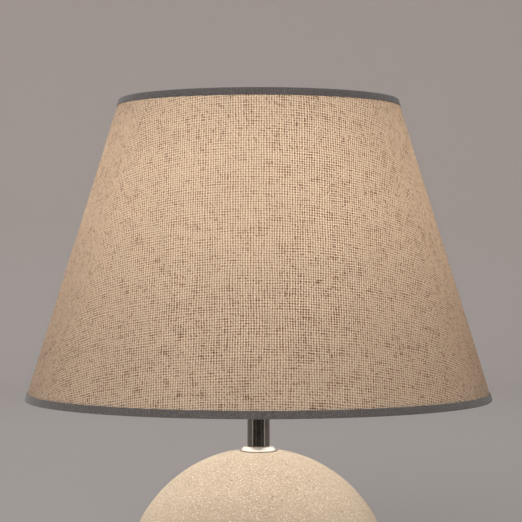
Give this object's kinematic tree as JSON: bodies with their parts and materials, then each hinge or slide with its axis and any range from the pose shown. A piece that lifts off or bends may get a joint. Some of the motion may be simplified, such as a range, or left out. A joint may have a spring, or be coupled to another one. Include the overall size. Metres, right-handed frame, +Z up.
{
  "type": "table lamp",
  "caption": "Table lamp with a stoneware ball base, short dark metal neck, E27 lampholder with bulb, and a tapered natural linen shade edged with grey tape.",
  "frame": {"origin": "centre of the lamp on the surface that it stands on", "axes": "+Z up along the lamp's axis, +Y towards the back, where the cord inlet is"},
  "size_m": [0.35, 0.35, 0.4545],
  "materials": {
    "felt": "dense wool felt, matt",
    "hardboard": "pressed board, matt",
    "stoneware": "sandy unglazed stoneware with dark and bright speckles",
    "black_rubber": "soft moulded rubber, matt",
    "zinc_steel": "zinc plated, drawn and turned",
    "polished_metal": "turned and polished",
    "dark_chrome": "dark polished tube",
    "black_thermoset": "moulded thermoset, satin",
    "porcelain": "white insulator porcelain",
    "brass": "pressed brass strip",
    "white_lacquer": "white lacquered steel wire",
    "lining_film": "ivory laminate film, matt, lets light through",
    "linen": "coarse natural linen, plain weave with slubs",
    "grey_tape": "grey grosgrain tape",
    "opal_diffuser": "opal diffuser, lit warm white",
    "white_plastic": "white moulded plastic",
    "board_aluminium": "plain aluminium board",
    "circuit_board": "green circuit board",
    "nickel_cap": "nickel plated",
    "black_glass": "black insulating glass",
    "solder": "solder dome"
  },
  "bodies": {
    "base": {"felt_pad": "felt", "base_cover": "hardboard", "ceramic_body": "stoneware", "cord_grommet": "black_rubber", "threaded_tube": "zinc_steel", "sealing_washer": "black_rubber", "clamp_washer": "zinc_steel", "lock_nut": "zinc_steel", "vase_cap": "polished_metal", "neck_tube": "dark_chrome", "holder_cap": "black_thermoset", "holder_grub_screw": "zinc_steel", "holder_core": "porcelain", "terminal_screws": "brass", "centre_contact": "brass", "screw_shell": "brass", "holder_sleeve": "black_thermoset"},
    "shade": {"fitter_ring": "white_lacquer", "fitter_spokes": "white_lacquer", "bottom_wire_ring": "white_lacquer", "top_wire_ring": "white_lacquer", "shade_lining": "lining_film", "shade_fabric": "linen", "bottom_trim": "grey_tape", "top_trim": "grey_tape"},
    "shade_clamp": {"shade_ring": "black_thermoset"},
    "bulb_foot": {"bulb_insulator": "black_glass", "bulb_contact": "solder"},
    "bulb": {"bulb_globe": "opal_diffuser", "bulb_housing": "white_plastic", "bulb_led_board": "board_aluminium", "bulb_driver": "circuit_board", "bulb_screw_cap": "nickel_cap"}
  },
  "joints": [
    {"name": "shade_turn", "type": "hinge", "parent": "base", "child": "shade", "pos_m": [0, 0, 0.2641], "axis": [0, 0, 1], "continuous": true},
    {"name": "shade_ring_rise", "type": "slide", "parent": "base", "child": "shade_clamp", "axis": [0, 0, 1], "range_m": [0, 0.024]},
    {"name": "bulb_rise", "type": "slide", "parent": "base", "child": "bulb_foot", "axis": [0, 0, 1], "range_m": [0, 0.0146]},
    {"name": "bulb_turn", "type": "hinge", "parent": "bulb_foot", "child": "bulb", "pos_m": [0, 0, 0.3], "axis": [0, 0, 1], "range_deg": [0, 1440]}
  ],
  "couplings": [
    {"joint": "bulb_rise", "follows": "bulb_turn", "m_per_rad": 0.00057751}
  ]
}
